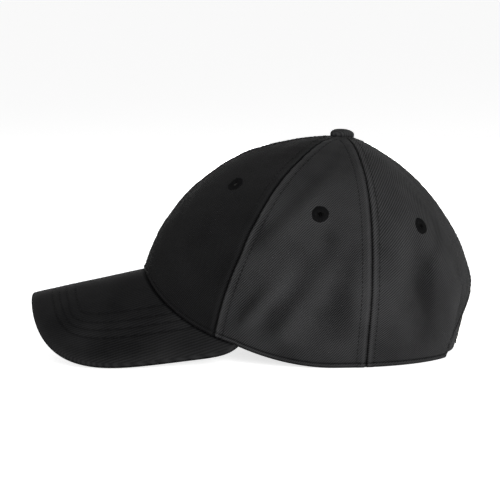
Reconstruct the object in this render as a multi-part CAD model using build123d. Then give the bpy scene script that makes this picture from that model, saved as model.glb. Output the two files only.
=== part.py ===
"""Six-panel baseball cap, built as its separate sewn and riveted pieces.

Millimetres, +Z up, visor towards -Y, wearer's left side at +X, resting plane at Z = 0.
Every crown piece is a thin layer of one crown surface, set by its depth below the outside.
"""
from build123d import *
from math import cos, degrees, hypot, pi, radians, sin, sqrt
import os

# Crown: three profiles share one apex. Each is a superellipse from the apex out to its widest
# height, then a wall that tucks in towards the base.
AXIS_Y = 58.2
APEX_Z = 136.7
FRONT = {"reach": 132.0, "widest": 0.0, "power": 2.32, "tuck": 0.0, "curl": 2.0, "upper": 1.0}
SIDE = {"reach": 85.0, "widest": 65.0, "power": 2.2, "tuck": 9.5, "curl": 2.0, "upper": 0.66}
REAR = {"reach": 80.7, "widest": 44.7, "power": 1.53, "tuck": 10.2, "curl": 1.33, "upper": 0.76}

# Seam headings in degrees from the front centre, at the apex and at the base.
SIDE_SEAM = (65.5, 50.5)
REAR_SEAM = (105.5, 99.0)
CENTRE = (0.0, 0.0)
BACK = (180.0, 180.0)
SEAM_GAP = 0.1
VISOR_GAP = 0.3

# Layer depths below the outside of the crown: outer face, inner face.
PANEL = (0.0, 0.9)
STIFFENER = (1.0, 1.6)
FACING = (1.15, 1.65)
REAR_TAPE = (1.2, 1.7)
FRONT_TAPE = (1.8, 2.3)
PADDING = (2.5, 3.6)
SWEATBAND = (3.85, 5.0)
LABEL = (5.25, 5.55)
TOP_T = 0.018
TAPE_TOP_T = 0.08
TAPE_HALF = 6.0

# Base line: level at the sides and rear, rising over the visor's corners.
RISE_START_Y = 50.0
RISE_POWER = 1.9
CORNER_HEADING = 59.0
INNER_LIFT = 1.6
REAR_TRIM = 1.0
FRONT_DIP = 5.0
SWEATBAND_HEIGHT = 30.0

# Visor: a swept arch that pitches down to the front, with a rounded outline.
RIDGE = (0.0, -66.0, 54.65)
PITCH = 11.5
ARCH_DROP = 50.9
ARCH_SPAN = 70.0
ARCH_ROUND = 70.0
ARCH_FADE = 0.0018
VISOR_HALF = 70.3
VISOR_LENGTH = 91.5
VISOR_TAIL = 46.0
VISOR_CENTRE = -18.0
VISOR_POWER = 4.2
VISOR_CORNER = 115.5
VISOR_ROOT_HEADING = 58.5
VISOR_ROOT_DEPTH = 3.3
TOP_COVER = (0.0, 0.8)
BOARD = (0.9, 2.9)
UNDER_COVER = (3.05, 3.75)
COVER_THICKNESS = 0.8

# Eyelets: heading and share of the way down, left side; mirrored to the right.
EYELETS = {"front": (37.0, 0.436), "side": (80.5, 0.509), "rear": (130.0, 0.521)}
EYELET_RADIUS = 5.2
EYELET_HOLE = 1.6
EYELET_SLEEVE = 2.0
EYELET_HEIGHT = 0.5

# Rear opening and its closure. The strap runs in a cone band that follows the rear wall.
ARCH_HALF = 35.0
ARCH_HEIGHT = 36.0
FACING_WIDTH = 7.0
BAND_CENTRE_Y = 52.5
BAND_RADIUS = 79.6
BAND_Z = 11.5
BAND_LEAN = 15.0
STRAP_DEPTH = (1.9, 3.2)
STRAP_Z = (2.5, 20.5)
STRAP_ENDS = (-38.0, 40.0)
PLATE_DEPTH = (4.0, 4.7)
PLATE_ENDS = (-24.6, -6.5)
PLATE_Z = (1.0, 22.1)
EAR_WIDTH = 1.1
PIN_HEADING = -17.5
PIN_DEPTH = 0.35
PIN_RADIUS = 0.6
KNUCKLE_RADIUS = 1.4
RUNNING_GAP = 0.05
LEVER_DEPTH = (-1.5, -0.6)
LEVER_ENDS = (-17.9, -6.9)
LEVER_GAP = 0.85
LOOP_PLY = 0.45

# Button.
BUTTON_RADIUS = 7.1
BUTTON_TILT = 4.5
SHANK_RADIUS = 1.2


def profile(shape, t):
    """Plan radius and height of one profile, t = 0 at the apex and 1 at the base."""
    if t <= shape["upper"]:
        out = sin(pi / 2 * t / shape["upper"])
        power = shape["power"]
        rise = (1 - out ** power) ** (1 / power) if out < 1 else 0.0
        return shape["reach"] * out, shape["widest"] + (APEX_Z - shape["widest"]) * rise
    down = (t - shape["upper"]) / (1 - shape["upper"])
    return shape["reach"] - shape["tuck"] * down ** shape["curl"], shape["widest"] * (1 - down)


def crown_surface(heading, t):
    """Point on the outside of the crown, heading 0 at the front and 180 at the back."""
    lateral = abs(sin(radians(heading)))
    along = cos(radians(heading))
    side_r, side_z = profile(SIDE, t)
    end_r, end_z = profile(FRONT if along > 0 else REAR, min(t, 1.0) if along > 0 else t)
    x = side_r * sin(radians(heading))
    z = side_z * lateral ** 2 + end_z * along ** 2
    return Vector(x, AXIS_Y - end_r * along, z)


def crown_point(heading, t, depth):
    """Point at a depth below the outside of the crown, measured along the normal."""
    here = crown_surface(heading, t)
    across = crown_surface(heading + 0.05, t) - crown_surface(heading - 0.05, t)
    down = crown_surface(heading, t + 0.002) - crown_surface(heading, t - 0.002)
    normal = down.cross(across).normalized()
    return here - normal * depth


def visor_drop(x, w):
    """How far the visor's arch falls below its ridge line."""
    unit = hypot(ARCH_SPAN, ARCH_ROUND) - ARCH_ROUND
    return ARCH_DROP * (1 - ARCH_FADE * w) * (hypot(x, ARCH_ROUND) - ARCH_ROUND) / unit


def visor_surface(x, w):
    """Point on the top of the visor, w forward along the ridge line."""
    c, s = cos(radians(PITCH)), sin(radians(PITCH))
    drop = visor_drop(x, w)
    return Vector(x, RIDGE[1] - w * c + drop * s, RIDGE[2] - w * s - drop * c)


def visor_point(x, w, depth):
    here = visor_surface(x, w)
    across = visor_surface(x + 0.1, w) - visor_surface(x - 0.1, w)
    along = visor_surface(x, w + 0.1) - visor_surface(x, w - 0.1)
    return here - along.cross(across).normalized() * depth


def visor_place(point):
    """Ridge coordinates x, w and clearance of a point above the visor's top."""
    c, s = cos(radians(PITCH)), sin(radians(PITCH))
    dy, dz = point.Y - RIDGE[1], point.Z - RIDGE[2]
    w = -dy * c - dz * s
    slope = (visor_drop(abs(point.X) + 0.1, w) - visor_drop(abs(point.X) - 0.1, w)) / 0.2
    height = dz * c - dy * s + visor_drop(point.X, w)
    return point.X, w, height / sqrt(1 + slope ** 2)


def bisect(test, low, high):
    """Value between low, where the test is positive, and high, where it is negative."""
    for _ in range(26):
        middle = (low + high) / 2
        if test(middle) > 0:
            low = middle
        else:
            high = middle
    return low


CORNER_T = bisect(lambda t: visor_place(crown_surface(CORNER_HEADING, t))[2], 0.3, 1.0)
CORNER = crown_surface(CORNER_HEADING, CORNER_T)


def base_line(y):
    """Height of the crown's lower edge seen from the side."""
    run = max(0.0, RISE_START_Y - y) / (RISE_START_Y - CORNER.Y)
    return CORNER.Z * run ** RISE_POWER


def clearance(point, heading, lift):
    """Distance of a point above the visor, or above the base line behind the visor's corners."""
    if abs(heading) < CORNER_HEADING:
        return visor_place(point)[2] - VISOR_GAP - lift
    if abs(heading) > REAR_SEAM[1]:
        return point.Z + REAR_TRIM - lift
    return point.Z - base_line(point.Y) - lift


def lower_end(span, a, depth, lift):
    """Share of the way down at which a layer reaches its lower edge."""
    return bisect(lambda t: clearance(crown_point(span(a, t), t, depth), span(a, t), lift), 0.3, 1.06)


def lining_level(heading):
    """Lower edge of the sweatband: it dips at the front to hide the visor's root."""
    level = crown_surface(heading, lower_end(fixed(heading, heading), 0.0, 0.0, 0.0)).Z
    front = max(0.0, cos(radians(heading)))
    return level + INNER_LIFT - FRONT_DIP * front ** 2


def column(span, a, depth, high, low, rows):
    """Points down one heading of a layer."""
    steps = [high + (low - high) * i / rows for i in range(rows + 1)]
    return [crown_point(span(a, t), t, depth) for t in steps]


def panel_grid(span, depth, top, lift, across, rows):
    """Points on one face of a layer that ends on the visor and the base line."""
    shares = [j / across for j in range(across + 1)]
    return [column(span, a, depth, top, lower_end(span, a, depth, lift), rows) for a in shares]


def belt_grid(start, end, depth, lift, height, across, rows):
    """Points on one face of a belt of even height that follows the lower edge."""
    span = fixed(start, end)
    columns = []
    for j in range(across + 1):
        a = j / across
        level = lining_level(span(a, 0.0)) + lift
        low = bisect(lambda t: crown_point(span(a, t), t, depth).Z - level, 0.1, 1.06)
        high = bisect(lambda t: crown_point(span(a, t), t, depth).Z - level - height, 0.1, 1.06)
        columns.append(column(span, a, depth, high, low, rows))
    return columns


def slab(outer, inner):
    """Solid between two grids of points, closed with ruled walls."""
    skin = Face.make_surface_from_array_of_points(outer, tol=0.01)
    lining = Face.make_surface_from_array_of_points(inner, tol=0.01)
    walls = []
    for edge in skin.edges():
        partner = min(lining.edges(), key=lambda e: (e.center() - edge.center()).length)
        walls.append(Face.make_surface_from_curves(edge, partner))
    return Solid(Shell([skin, lining] + walls))


def crown_layer(span, depths, top=TOP_T, lift=0.0, across=26, rows=26):
    outer, inner = [panel_grid(span, depth, top, lift, across, rows) for depth in depths]
    return slab(outer, inner)


def belt(start, end, depths, height, lift=0.0, across=60, rows=8):
    outer, inner = [belt_grid(start, end, depth, lift, height, across, rows) for depth in depths]
    return slab(outer, inner)


def trimmed(solid):
    """Solid cut level at the resting plane, which makes the flat edge that the cap rests on."""
    return solid - Pos(0, 0, -10) * Box(400, 400, 20)


def seam_heading(seam, t):
    return seam[0] + (seam[1] - seam[0]) * min(t, 1.0)


def offset_heading(distance, t):
    """Heading change that moves a point sideways by a distance."""
    return degrees(distance / (80.0 * sin(pi / 2 * min(t / 0.66, 1.0))))


def between(first, second, side):
    """Span from one seam to the next, leaving the seam gap at both."""
    def span(a, t):
        start = seam_heading(first, t) + offset_heading(SEAM_GAP, t)
        end = seam_heading(second, t) - offset_heading(SEAM_GAP, t)
        return side * (start + (end - start) * a)
    return span


def along(seam, side):
    """Span of a tape centred on a seam."""
    def span(a, t):
        return side * seam_heading(seam, t) + offset_heading(TAPE_HALF, t) * (2 * a - 1)
    return span


def fixed(start, end):
    def span(a, t):
        return start + (end - start) * a
    return span


def arch_prism(grow=0.0):
    """Rear opening as a block that runs through the rear wall."""
    outline = Ellipse(ARCH_HALF + grow, ARCH_HEIGHT + grow)
    return Pos(0, 160, 0) * extrude(Plane.XZ * outline, 80)


def eyelet_plane(heading, t):
    here = crown_point(heading, t, 0.0)
    normal = here - crown_point(heading, t, 1.0)
    return Plane(origin=here, z_dir=normal)


def eyelet(heading, t, length):
    """Stitched ring with a short sleeve through the layers."""
    ring = Pos(0, 0, EYELET_HEIGHT / 2 + 0.05) * Cylinder(EYELET_RADIUS, EYELET_HEIGHT)
    ring = fillet(ring.edges().group_by(Axis.Z)[-1], 0.35)
    sleeve = Pos(0, 0, 0.2 - length / 2) * Cylinder(EYELET_SLEEVE, length)
    body = ring + sleeve - Cylinder(EYELET_HOLE, 10)
    return eyelet_plane(heading, t) * body


def eyelet_hole(heading, t):
    return eyelet_plane(heading, t) * Cylinder(EYELET_SLEEVE + 0.15, 12)


def panels():
    rows = {"front": (CENTRE, SIDE_SEAM), "side": (SIDE_SEAM, REAR_SEAM), "rear": (REAR_SEAM, BACK)}
    made = {}
    for name, (first, second) in rows.items():
        heading, t = EYELETS[name]
        for word, side in (("left", 1), ("right", -1)):
            panel = crown_layer(between(first, second, side), PANEL) - eyelet_hole(side * heading, t)
            if name == "rear":
                panel = trimmed(panel) - arch_prism()
            made[f"{name}_panel_{word}"] = panel
            length = 1.9 if name == "front" else 1.1
            made[f"{name}_eyelet_{word}"] = eyelet(side * heading, t, length)
    return made


def stiffeners():
    made = {}
    heading, t = EYELETS["front"]
    for word, side in (("left", 1), ("right", -1)):
        layer = crown_layer(between(CENTRE, SIDE_SEAM, side), STIFFENER, top=0.06, lift=INNER_LIFT)
        made[f"front_stiffener_{word}"] = layer - eyelet_hole(side * heading, t)
    return made


def seam_tapes():
    made = {"front_seam_tape": crown_layer(along(CENTRE, 1), FRONT_TAPE, TAPE_TOP_T, lift=INNER_LIFT, across=4)}
    for word, side in (("left", 1), ("right", -1)):
        for name, seam, depths in (("side_front", SIDE_SEAM, FRONT_TAPE), ("side_rear", REAR_SEAM, REAR_TAPE)):
            tape = crown_layer(along(seam, side), depths, TAPE_TOP_T, lift=INNER_LIFT, across=4)
            made[f"{name}_seam_tape_{word}"] = tape
    rear = crown_layer(along(BACK, 1), REAR_TAPE, TAPE_TOP_T, lift=INNER_LIFT, across=4)
    made["rear_seam_tape"] = rear - arch_prism(FACING_WIDTH + 0.5)
    return made


def sweatband():
    return belt(-152, 152, SWEATBAND, SWEATBAND_HEIGHT) - arch_prism(4.0)


def sweatband_padding():
    """Foam strip over the forehead, standing on the visor's root."""
    return belt(-46, 46, PADDING, SWEATBAND_HEIGHT - 10.0, lift=7.0, across=24)


def label():
    return belt(120, 138, LABEL, 20.0, lift=5.0, across=8)


def arch_facing():
    wall = crown_layer(fixed(138, 222), FACING, top=0.6, across=24, rows=10)
    return trimmed(wall) & arch_prism(FACING_WIDTH) - arch_prism()


def visor_outline(angle, inset):
    """Outline point x, w at an angle about the visor's centre, 0 at the tip."""
    s, c = sin(radians(angle)), cos(radians(angle))
    length = VISOR_LENGTH if c > 0 else VISOR_TAIL
    half = VISOR_HALF - 0.6 * inset
    ratio = (abs(s) / half) ** VISOR_POWER + (abs(c) / (length - inset)) ** VISOR_POWER
    reach = ratio ** (-1 / VISOR_POWER)
    return reach * s, VISOR_CENTRE + reach * c


def visor_root(heading, root_depth, depth):
    """Ridge coordinates of a visor layer's edge inside the crown, under a crown layer."""
    low = bisect(lambda t: visor_place(crown_point(heading, t, root_depth))[2] + depth, 0.3, 1.0)
    here = crown_point(heading, low, root_depth)
    x, w, _ = visor_place(here)
    for _ in range(3):
        x, w, _ = visor_place(here + visor_surface(x, w) - visor_point(x, w, depth))
    return x, w


def visor_grid(depth, inset, root_depth, across=44, rows=16):
    columns = []
    for j in range(across + 1):
        a = 2 * j / across - 1
        x0, w0 = visor_root(a * VISOR_ROOT_HEADING, root_depth, depth)
        x1, w1 = visor_outline(a * VISOR_CORNER, inset)
        columns.append([visor_point(x0 + (x1 - x0) * i / rows, w0 + (w1 - w0) * i / rows, depth)
                        for i in range(rows + 1)])
    return columns


def visor_layer(depths, inset=0.0, root_depth=VISOR_ROOT_DEPTH):
    outer, inner = [visor_grid(depth, inset, root_depth) for depth in depths]
    return slab(outer, inner)


def visor():
    """Board between two covers; the top cover turns down round the rim."""
    block = visor_layer((TOP_COVER[0], BOARD[1] + 0.1))
    pocket = visor_layer((TOP_COVER[1], BOARD[1] + 1.0), inset=COVER_THICKNESS, root_depth=4.6)
    return {
        "visor_top_cover": block - pocket,
        "visor_board": visor_layer(BOARD, inset=COVER_THICKNESS + 0.2),
        "visor_under_cover": visor_layer(UNDER_COVER),
    }


def band(ends, heights, depths):
    """Sector of the cone band round the rear; headings from the rear centre, plus to the left."""
    lean = sin(radians(BAND_LEAN)) / cos(radians(BAND_LEAN))
    corners = []
    for z, depth in ((heights[0], depths[0]), (heights[1], depths[0]), (heights[1], depths[1]),
                     (heights[0], depths[1])):
        corners.append((BAND_RADIUS - depth + lean * (z - BAND_Z), z))
    section = make_face(Polyline(*[(r, 0, z) for r, z in corners], close=True))
    sector = revolve(section, Axis.Z, ends[1] - ends[0])
    return Pos(0, BAND_CENTRE_Y, 0) * Rot(0, 0, 90 - ends[1]) * sector


def pin_plane():
    """Plane across the lever's pin, Z along the pin and X outwards."""
    out = Vector(sin(radians(PIN_HEADING)), cos(radians(PIN_HEADING)), 0)
    lean = radians(BAND_LEAN)
    up = out * sin(lean) + Vector(0, 0, 1) * cos(lean)
    normal = out * cos(lean) - Vector(0, 0, 1) * sin(lean)
    origin = Vector(0, BAND_CENTRE_Y, BAND_Z) + out * (BAND_RADIUS - PIN_DEPTH)
    return Plane(origin=origin, x_dir=normal, z_dir=up)


def pin_rod(radius, half_length):
    return pin_plane() * Cylinder(radius, 2 * half_length)


def buckle():
    """Plate behind the strap with two ears, a pin across them and the clamping lever."""
    low, high = PLATE_Z
    plate = band(PLATE_ENDS, PLATE_Z, PLATE_DEPTH)
    plate -= band((-22.9, -21.2), (3.4, 19.6), (3.0, 6.0))
    for heights in ((low, low + EAR_WIDTH), (high - EAR_WIDTH, high)):
        plate += band((-18.9, -10.5), heights, (-0.8, PLATE_DEPTH[1]))
    frame = plate - pin_rod(PIN_RADIUS + 0.02, 14)
    inside = (low + EAR_WIDTH + LEVER_GAP, high - EAR_WIDTH - LEVER_GAP)
    lever = band(LEVER_ENDS, inside, LEVER_DEPTH)
    barrel = pin_rod(KNUCKLE_RADIUS, 14) & band((-22, -12), inside, (-6, 6))
    web = band((PIN_HEADING - 0.7, PIN_HEADING + 0.9), inside, (LEVER_DEPTH[0] + 0.3, PIN_DEPTH))
    lever = lever + barrel + web - pin_rod(PIN_RADIUS + RUNNING_GAP, 16)
    pin = pin_rod(PIN_RADIUS, 14) & band((-22, -12), (low, high), (-6, 6))
    return {"buckle_frame": frame, "buckle_lever": lever, "buckle_pin": pin}


def buckle_loop():
    """Short folded tab that holds the plate's end bar."""
    heights = (3.9, 19.1)
    start = STRAP_DEPTH[1] + 0.1
    finish = PLATE_DEPTH[1] + 0.1
    outer = band((-36.0, -21.6), heights, (start, start + LOOP_PLY))
    inner = band((-26.2, -21.6), heights, (finish, finish + LOOP_PLY))
    fold = band((-22.0, -21.6), heights, (start, finish + LOOP_PLY))
    return outer + inner + fold


def strap():
    return band(STRAP_ENDS, STRAP_Z, STRAP_DEPTH)


def turned(points):
    """Solid of revolution about Z from a closed outline of radius and height."""
    return revolve(make_face(Polyline(*[(r, 0, z) for r, z in points], close=True)), Axis.Z, 360)


def dome(radius, crown, rim, foot):
    """Domed disc: an arc from the rim up to the crown, with a short foot turned under."""
    top = ThreePointArc((0, 0, crown), (radius * 0.62, 0, crown - (crown - rim) * 0.3), (radius, 0, rim))
    side = ThreePointArc((radius, 0, rim), (radius + 0.05, 0, (rim + foot) / 2), (radius - 0.6, 0, foot))
    floor = Polyline((radius - 0.6, 0, foot), (0, 0, foot), (0, 0, crown))
    return revolve(make_face(top + side + floor), Axis.Z, 360)


def button():
    """Covered button: fabric over a domed shell, with a rivet clenched on a washer inside."""
    place = Pos(0, AXIS_Y, APEX_Z) * Rot(-BUTTON_TILT, 0, 0)
    cover = dome(BUTTON_RADIUS, 4.3, 2.0, 0.45) - dome(BUTTON_RADIUS - 0.5, 3.8, 1.8, 0.2)
    shell = dome(BUTTON_RADIUS - 0.6, 3.7, 1.75, 0.75) - dome(BUTTON_RADIUS - 1.3, 3.0, 1.4, 0.4)
    head = turned([(0, 0.8), (4.6, 0.8), (4.6, 1.4), (0, 1.4)])
    rivet = head + Pos(0, 0, -1.35) * Cylinder(SHANK_RADIUS, 4.5)
    washer = Pos(0, 0, -2.9) * Cylinder(5.2, 0.7) - Cylinder(SHANK_RADIUS + 0.05, 20)
    parts = {"button_cover": cover, "button_shell": shell, "button_rivet": rivet, "button_washer": washer}
    return {name: place * solid for name, solid in parts.items()}


def cap():
    made = {}
    made.update(panels())
    made.update(stiffeners())
    made.update(seam_tapes())
    made["sweatband"] = sweatband()
    made["sweatband_padding"] = sweatband_padding()
    made["care_label"] = label()
    made["arch_facing"] = arch_facing()
    made.update(visor())
    made.update(button())
    made["adjuster_strap"] = strap()
    made["buckle_loop"] = buckle_loop()
    made.update(buckle())
    return made


os.makedirs("parts", exist_ok=True)
for name, solid in cap().items():
    export_step(solid, f"parts/{name}.step")
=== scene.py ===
"""Black six-panel baseball cap: fabric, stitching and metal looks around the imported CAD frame.

The frame is in metres. The shape functions below work in millimetres, because the driving
sizes are the CAD part's own, and every mesh is scaled to metres once, in make_mesh().
"""
import bmesh
import bpy
import math
import numpy as np
from mathutils import Matrix, Vector


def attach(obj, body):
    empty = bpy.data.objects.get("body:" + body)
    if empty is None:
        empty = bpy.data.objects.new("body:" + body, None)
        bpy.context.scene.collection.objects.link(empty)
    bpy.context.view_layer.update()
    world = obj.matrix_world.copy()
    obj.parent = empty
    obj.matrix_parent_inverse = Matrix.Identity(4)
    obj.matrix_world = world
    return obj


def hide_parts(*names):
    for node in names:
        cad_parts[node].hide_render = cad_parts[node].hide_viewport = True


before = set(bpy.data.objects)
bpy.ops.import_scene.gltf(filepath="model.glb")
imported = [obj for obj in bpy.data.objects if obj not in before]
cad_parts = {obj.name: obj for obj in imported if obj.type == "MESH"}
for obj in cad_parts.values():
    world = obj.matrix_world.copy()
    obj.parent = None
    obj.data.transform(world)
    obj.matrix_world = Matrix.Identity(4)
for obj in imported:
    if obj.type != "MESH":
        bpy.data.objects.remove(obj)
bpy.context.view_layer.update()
MM = 0.001

# ---------------- driving sizes, as in the part
# Lengths are in mm. A t runs from 0 at the apex to 1 at the base. Headings are in degrees from the
# front of the crown, apart from STRAP_ENDS, which count from the rear centre. A seam is its heading
# at the apex and at the base. A pair of depths is a layer's outer and inner face, below the crown,
# visor or strap surface that it follows.
AXIS_Y = 58.2
APEX_Z = 136.7
FRONT = {"reach": 132.0, "widest": 0.0, "power": 2.32, "tuck": 0.0, "curl": 2.0, "upper": 1.0}
SIDE = {"reach": 85.0, "widest": 65.0, "power": 2.2, "tuck": 9.5, "curl": 2.0, "upper": 0.66}
REAR = {"reach": 80.7, "widest": 44.7, "power": 1.53, "tuck": 10.2, "curl": 1.33, "upper": 0.76}
FRONT_SEAM = (0.0, 0.0)
SIDE_SEAM = (65.5, 50.5)
REAR_SEAM = (105.5, 99.0)
BACK_SEAM = (180.0, 180.0)
CORNER_HEADING = 59.0
RISE_START_Y = 50.0
RISE_POWER = 1.9
TOP_T = 0.018
RIDGE = (0.0, -66.0, 54.65)
PITCH = math.radians(11.5)
ARCH_DROP = 50.9
ARCH_SPAN = 70.0
ARCH_ROUND = 70.0
ARCH_FADE = 0.0018
VISOR_HALF = 70.3
VISOR_LENGTH = 91.5
VISOR_TAIL = 46.0
VISOR_CENTRE = -18.0
VISOR_POWER = 4.2
VISOR_CORNER = 115.5
VISOR_ROOT_HEADING = 58.5
VISOR_ROOT_DEPTH = 3.3
RIM_RADIUS = 1.9
VISOR_ROWS = (14.0, 18.5, 23.0, 28.6)
VISOR_SLANT = 82.0
COVER_THICKNESS = 0.8
UNDER_COVER = (3.05, 3.75)
ARCH_HALF = 35.0
ARCH_HEIGHT = 36.0
FACING_WIDTH = 7.0
BAND_CENTRE_Y = 52.5
BAND_RADIUS = 79.6
BAND_Z = 11.5
BAND_LEAN = math.radians(15.0)
STRAP_DEPTH = (1.9, 3.2)
STRAP_Z = (2.5, 20.5)
STRAP_ENDS = (-38.0, 40.0)
BAND_MM = 1.39          # mm along the strap for a degree of heading
BAND_DEGREES = 0.72     # degrees of heading for a mm along the strap
ARCH_MEAN = 35.5        # mean radius of the rear opening
PLATE_DEPTH = (4.0, 4.7)
LOOP_PLY = 0.45
BUTTON_TILT = 4.5
BUTTON_SHIFT = 0.6
INNER_LIFT = 1.6
FRONT_DIP = 5.0
SWEATBAND_HEIGHT = 30.0
TAPE_HALF = 6.0
TAPE_TOP_T = 0.08
STIFFENER_TOP_T = 0.06
STIFFENER = (1.0, 1.6)
FACING = (1.15, 1.65)
REAR_TAPE = (1.2, 1.7)
FRONT_TAPE = (1.8, 2.3)
PADDING = (2.5, 3.6)
SWEATBAND = (3.85, 5.0)
LABEL_DEPTH = (5.25, 5.55)
EYELET_CUT = 2.7
HEM_STITCH = 3.1
TAPE_STITCH = 1.4
STRAP_STITCH = 2.2
FACING_STITCH = 6.0
LABEL_STITCH = 18.0
SWEATBAND_STITCH = (2.6, 2.2)
EYELETS = {"front": (37.0, 0.436), "side": (80.5, 0.509), "rear": (130.0, 0.521)}


# ---------------- the crown and visor surfaces
def profile(shape, t):
    """Plan radius and height of one profile; t is 0 at the apex and 1 at the base."""
    t = np.asarray(t, float)
    upper, power = shape["upper"], shape["power"]
    out = np.sin(np.pi / 2 * np.clip(t / upper, 0, 1))
    rise = np.clip(1 - out ** power, 0, None) ** (1 / power)
    r = shape["reach"] * out
    z = shape["widest"] + (APEX_Z - shape["widest"]) * rise
    if upper < 1:
        down = np.clip((t - upper) / (1 - upper), 0, None)
        r = np.where(down > 0, shape["reach"] - shape["tuck"] * down ** shape["curl"], r)
        z = np.where(down > 0, shape["widest"] * (1 - down), z)
    return r, z


def crown(heading, t):
    """Points on the outside of the crown, heading 0 at the front, 180 at the back."""
    heading, t = np.broadcast_arrays(np.asarray(heading, float), np.asarray(t, float))
    angle = np.radians(heading)
    side_r, side_z = profile(SIDE, t)
    front_r, front_z = profile(FRONT, np.clip(t, 0, 1))
    rear_r, rear_z = profile(REAR, t)
    ahead = np.cos(angle) > 0
    end_r = np.where(ahead, front_r, rear_r)
    end_z = np.where(ahead, front_z, rear_z)
    lateral = np.sin(angle) ** 2
    z = side_z * lateral + end_z * (1 - lateral)
    return np.stack([side_r * np.sin(angle), AXIS_Y - end_r * np.cos(angle), z], -1)


def unit(v):
    return v / np.maximum(np.linalg.norm(v, axis=-1, keepdims=True), 1e-9)


def crown_normal(heading, t):
    across = crown(heading + 0.05, t) - crown(heading - 0.05, t)
    down = crown(heading, t + 0.002) - crown(heading, t - 0.002)
    return unit(np.cross(down, across))


def crown_at(heading, t, depth):
    """Points at a depth below the outside of the crown; a negative depth stands proud."""
    depth = np.asarray(depth, float)
    return crown(heading, t) - crown_normal(heading, t) * depth[..., None]


def visor_drop(x, w):
    span = math.hypot(ARCH_SPAN, ARCH_ROUND) - ARCH_ROUND
    return ARCH_DROP * (1 - ARCH_FADE * w) * (np.hypot(x, ARCH_ROUND) - ARCH_ROUND) / span


def visor(x, w):
    """Points on the top of the visor, w forward along its ridge line."""
    x, w = np.broadcast_arrays(np.asarray(x, float), np.asarray(w, float))
    c, s = math.cos(PITCH), math.sin(PITCH)
    drop = visor_drop(x, w)
    return np.stack([x, RIDGE[1] - w * c + drop * s, RIDGE[2] - w * s - drop * c], -1)


def visor_normal(x, w):
    across = visor(x + 0.1, w) - visor(x - 0.1, w)
    ahead = visor(x, w + 0.1) - visor(x, w - 0.1)
    return unit(np.cross(ahead, across))


def visor_at(x, w, depth):
    depth = np.asarray(depth, float)
    return visor(x, w) - visor_normal(x, w) * depth[..., None]


def visor_place(p):
    """Ridge coordinates x, w of points, and their clearance above the visor's top."""
    c, s = math.cos(PITCH), math.sin(PITCH)
    dy, dz = p[..., 1] - RIDGE[1], p[..., 2] - RIDGE[2]
    w = -dy * c - dz * s
    x = p[..., 0]
    slope = (visor_drop(np.abs(x) + 0.1, w) - visor_drop(np.abs(x) - 0.1, w)) / 0.2
    height = dz * c - dy * s + visor_drop(x, w)
    return x, w, height / np.sqrt(1 + slope ** 2)


def bisect(test, low, high):
    """Values where test changes from positive, towards low, to negative, towards high."""
    for _ in range(28):
        middle = (low + high) / 2
        above = test(middle) > 0
        low = np.where(above, middle, low)
        high = np.where(above, high, middle)
    return low


CORNER_T = bisect(lambda t: visor_place(crown(CORNER_HEADING, t))[2], 0.3, 1.0)
CORNER = crown(CORNER_HEADING, CORNER_T)


def base_line(y):
    run = np.maximum(0.0, RISE_START_Y - y) / (RISE_START_Y - CORNER[1])
    return CORNER[2] * run ** RISE_POWER


def clearance(p, heading):
    """Height of points above the visor, or above the base line behind the visor's corners."""
    above_visor = visor_place(p)[2] - 0.3
    return np.where(np.abs(heading) < CORNER_HEADING, above_visor, p[..., 2] - base_line(p[..., 1]))


def seam_heading(seam, t):
    return seam[0] + (seam[1] - seam[0]) * np.minimum(t, 1.0)


def heading_width(distance, t):
    """Heading change that moves a point sideways by a distance."""
    return np.degrees(distance / (80.0 * np.sin(np.pi / 2 * np.minimum(t / 0.66, 1.0))))


def smooth(low, high, x):
    s = np.clip((x - low) / (high - low), 0, 1)
    return s * s * (3 - 2 * s)


def bump(x, width):
    return np.exp(-(x / width) ** 2)


def ripple(p, length, seed):
    """Smooth uneven field about zero, from a few fixed waves of one rough length."""
    rng = np.random.default_rng(seed)
    total = np.zeros(p.shape[:-1])
    for _ in range(7):
        way = unit(rng.normal(size=3))
        phase = rng.uniform(0, 2 * np.pi)
        total += np.sin(p @ way * 2 * np.pi / (length * rng.uniform(0.7, 1.5)) + phase)
    return total / 3.0


# ---------------- mesh and material helpers
def make_mesh(name, verts, faces, uvs=None, attributes=None):
    """Smooth mesh object, scaled from millimetres to metres."""
    mesh = bpy.data.meshes.new(name)
    mesh.from_pydata((np.asarray(verts) * MM).tolist(), [], faces)
    mesh.polygons.foreach_set("use_smooth", [True] * len(mesh.polygons))
    if uvs is not None:
        layer = mesh.uv_layers.new(name="weave")
        loops = np.empty(len(mesh.loops), int)
        mesh.loops.foreach_get("vertex_index", loops)
        layer.data.foreach_set("uv", (np.asarray(uvs)[loops] * MM).ravel())
    for key, values in (attributes or {}).items():
        field = mesh.attributes.new(key, "FLOAT", "POINT")
        field.data.foreach_set("value", np.asarray(values, np.float32).ravel())
    mesh.update()
    obj = bpy.data.objects.new(name, mesh)
    bpy.context.scene.collection.objects.link(obj)
    return obj


def grid_faces(rows, columns, start=0, flip=False, wrap=False):
    """Quads over a grid stored row by row."""
    faces = []
    for i in range(rows - 1):
        for j in range(columns if wrap else columns - 1):
            a = start + i * columns + j
            b = start + i * columns + (j + 1) % columns
            quad = (a, b, b + columns, a + columns)
            faces.append(quad[::-1] if flip else quad)
    return faces


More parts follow.
